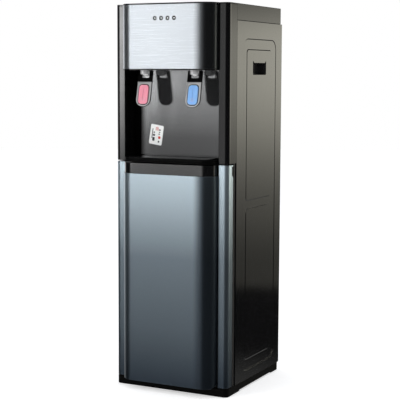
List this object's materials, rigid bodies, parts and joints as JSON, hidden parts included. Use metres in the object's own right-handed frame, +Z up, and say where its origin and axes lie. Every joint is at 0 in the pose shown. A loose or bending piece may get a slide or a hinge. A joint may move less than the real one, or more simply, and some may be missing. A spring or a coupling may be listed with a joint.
{
  "type": "floor-standing water dispenser",
  "caption": "Tall bottom-loading hot and cold water dispenser with a bulged front, an alcove with push levers, a drip tray and a hinged bottle door.",
  "frame": {"origin": "middle of the footprint on the floor, at the underside of the foot pads", "axes": "+Z up, +X to the right of a person facing the taps, -Y towards that person"},
  "size_m": [0.31, 0.352, 0.95],
  "materials": {
    "gloss_black": "polished black ABS",
    "side_steel": "gloss black coated steel sheet",
    "satin_black": "fine satin black moulding",
    "smoke_panel": "polished dark grey panel",
    "fascia_silver": "fine brushed silver",
    "door_silver": "metallic silver blue coating",
    "lever_grey": "polished grey lever",
    "pad_pink": "pink inlay",
    "pad_blue": "light blue inlay",
    "tap_metal": "satin chrome",
    "lamp_black": "dark lamp window",
    "board_green": "solder-masked board",
    "white_plastic": "plain white moulding",
    "soft_rubber": "black rubber",
    "silicone": "clear silicone tube",
    "stainless": "brushed stainless",
    "zinc_steel": "zinc plated sheet",
    "alloy": "extruded aluminium",
    "foam_white": "expanded foam beads",
    "heater_tan": "mica heater band",
    "switch_red": "red rocker",
    "probe_blue": "blue bottle cap",
    "pump_grey": "dark painted pump"
  },
  "bodies": {
    "cabinet": {"base_tray": "satin_black", "foot_pads": "soft_rubber", "side_panel_left": "side_steel", "side_panel_right": "side_steel", "grip_cups": "satin_black", "back_panel": "side_steel", "back_screws": "zinc_steel", "mid_shelf": "zinc_steel", "bay_frame": "satin_black", "bottle_tray": "satin_black", "pillar_left": "gloss_black", "pillar_right": "gloss_black", "alcove_floor": "gloss_black", "alcove_panel": "smoke_panel", "tap_plate": "gloss_black", "fascia": "fascia_silver", "indicator_lamps": "lamp_black", "display_board": "board_green", "top_cover": "gloss_black", "hot_tap": "tap_metal", "cold_tap": "tap_metal", "valve_bodies": "white_plastic", "lever_pins": "stainless", "lever_springs": "stainless", "hinge_plates": "zinc_steel", "hinge_pins": "stainless", "catch_plate": "zinc_steel", "power_inlet": "satin_black", "switch_bezel": "satin_black", "cold_tank": "stainless", "tank_foam": "foam_white", "hot_tank": "stainless", "heater_band": "heater_tan", "heat_sink": "alloy", "cooling_module": "alloy", "fan_frame": "satin_black", "pump": "pump_grey", "tank_pipes": "silicone", "intake_hose": "silicone", "intake_probe": "probe_blue", "control_board": "board_green"},
    "door": {"door_stile_left": "door_silver", "door_stile_right": "door_silver", "door_panel": "door_silver", "grip_band": "gloss_black", "door_carcass": "satin_black", "door_gasket": "soft_rubber", "door_magnet": "soft_rubber"},
    "hot_lever_arm": {"hot_lever": "lever_grey", "hot_pad": "pad_pink"},
    "cold_lever_arm": {"cold_lever": "lever_grey", "cold_pad": "pad_blue"},
    "hot_stem": {"hot_valve_stem": "switch_red"},
    "cold_stem": {"cold_valve_stem": "probe_blue"},
    "tray": {"drip_tray": "gloss_black", "drip_grille": "satin_black"},
    "hot_rocker": {"hot_switch": "switch_red"},
    "cold_rocker": {"cold_switch": "switch_red"},
    "fan": {"fan_rotor": "satin_black"},
    "drain": {"drain_cap": "satin_black"}
  },
  "joints": [
    {"name": "door_swing", "type": "hinge", "parent": "cabinet", "child": "door", "pos_m": [-0.145, -0.122, 0.295], "axis": [0, 0, -1], "range_deg": [0, 110]},
    {"name": "hot_push", "type": "hinge", "parent": "cabinet", "child": "hot_lever_arm", "pos_m": [-0.0675, -0.14045, 0.80051], "axis": [1, 0, 0], "range_deg": [0, 12], "stiffness_Nm_per_rad": 0.2, "springref_deg": -8.59},
    {"name": "cold_push", "type": "hinge", "parent": "cabinet", "child": "cold_lever_arm", "pos_m": [0.0675, -0.14045, 0.80051], "axis": [1, 0, 0], "range_deg": [0, 12], "stiffness_Nm_per_rad": 0.2, "springref_deg": -8.59},
    {"name": "hot_valve", "type": "slide", "parent": "cabinet", "child": "hot_stem", "axis": [0, 0, -1], "range_m": [0, 0.0019]},
    {"name": "cold_valve", "type": "slide", "parent": "cabinet", "child": "cold_stem", "axis": [0, 0, -1], "range_m": [0, 0.0019]},
    {"name": "tray_slide", "type": "slide", "parent": "cabinet", "child": "tray", "axis": [0, -1, 0], "range_m": [0, 0.09]},
    {"name": "hot_switch_rock", "type": "hinge", "parent": "cabinet", "child": "hot_rocker", "pos_m": [-0.095, 0.165, 0.7905], "axis": [-1, 0, 0], "range_deg": [0, 20]},
    {"name": "cold_switch_rock", "type": "hinge", "parent": "cabinet", "child": "cold_rocker", "pos_m": [-0.095, 0.165, 0.7695], "axis": [-1, 0, 0], "range_deg": [0, 20]},
    {"name": "fan_spin", "type": "hinge", "parent": "cabinet", "child": "fan", "pos_m": [0, 0.149, 0.827], "axis": [0, 1, 0], "continuous": true},
    {"name": "drain_cap_pull", "type": "slide", "parent": "cabinet", "child": "drain", "axis": [0, 1, 0], "range_m": [0, 0.03]}
  ],
  "couplings": [
    {"joint": "hot_valve", "follows": "hot_push", "m_per_rad": 0.0086},
    {"joint": "cold_valve", "follows": "cold_push", "m_per_rad": 0.0086}
  ]
}
